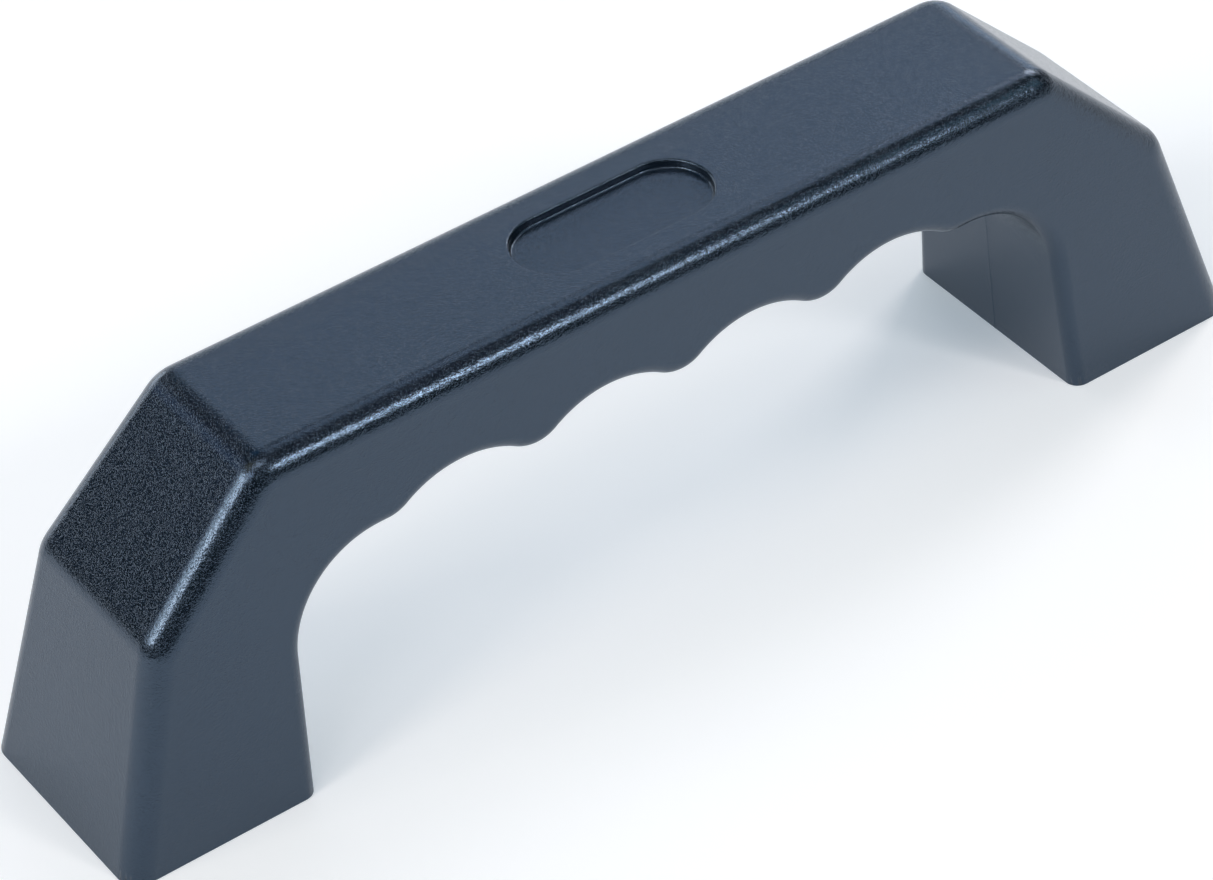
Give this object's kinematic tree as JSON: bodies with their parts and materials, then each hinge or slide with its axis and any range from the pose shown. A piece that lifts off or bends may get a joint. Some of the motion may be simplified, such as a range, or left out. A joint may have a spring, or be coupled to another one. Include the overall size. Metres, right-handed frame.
{
  "type": "bar handle",
  "caption": "Moulded plastic bar handle with trapezoid feet, chamfered shoulders, a finger-grooved grip and threaded brass inserts in its soles.",
  "frame": {"origin": "centre of the mounting plane, midway between the two feet", "axes": "+X along the grip, +Y across the handle, +Z from the mounting plane up to the flat top"},
  "size_m": [0.18, 0.035, 0.051],
  "materials": {
    "moulding": "slate-black moulded plastic with a fine spark-eroded grain, satin sheen",
    "brass": "turned brass, bright on the faced end"
  },
  "bodies": {
    "root": {"handle_body": "moulding", "insert_left": "brass", "insert_right": "brass"}
  },
  "joints": []
}
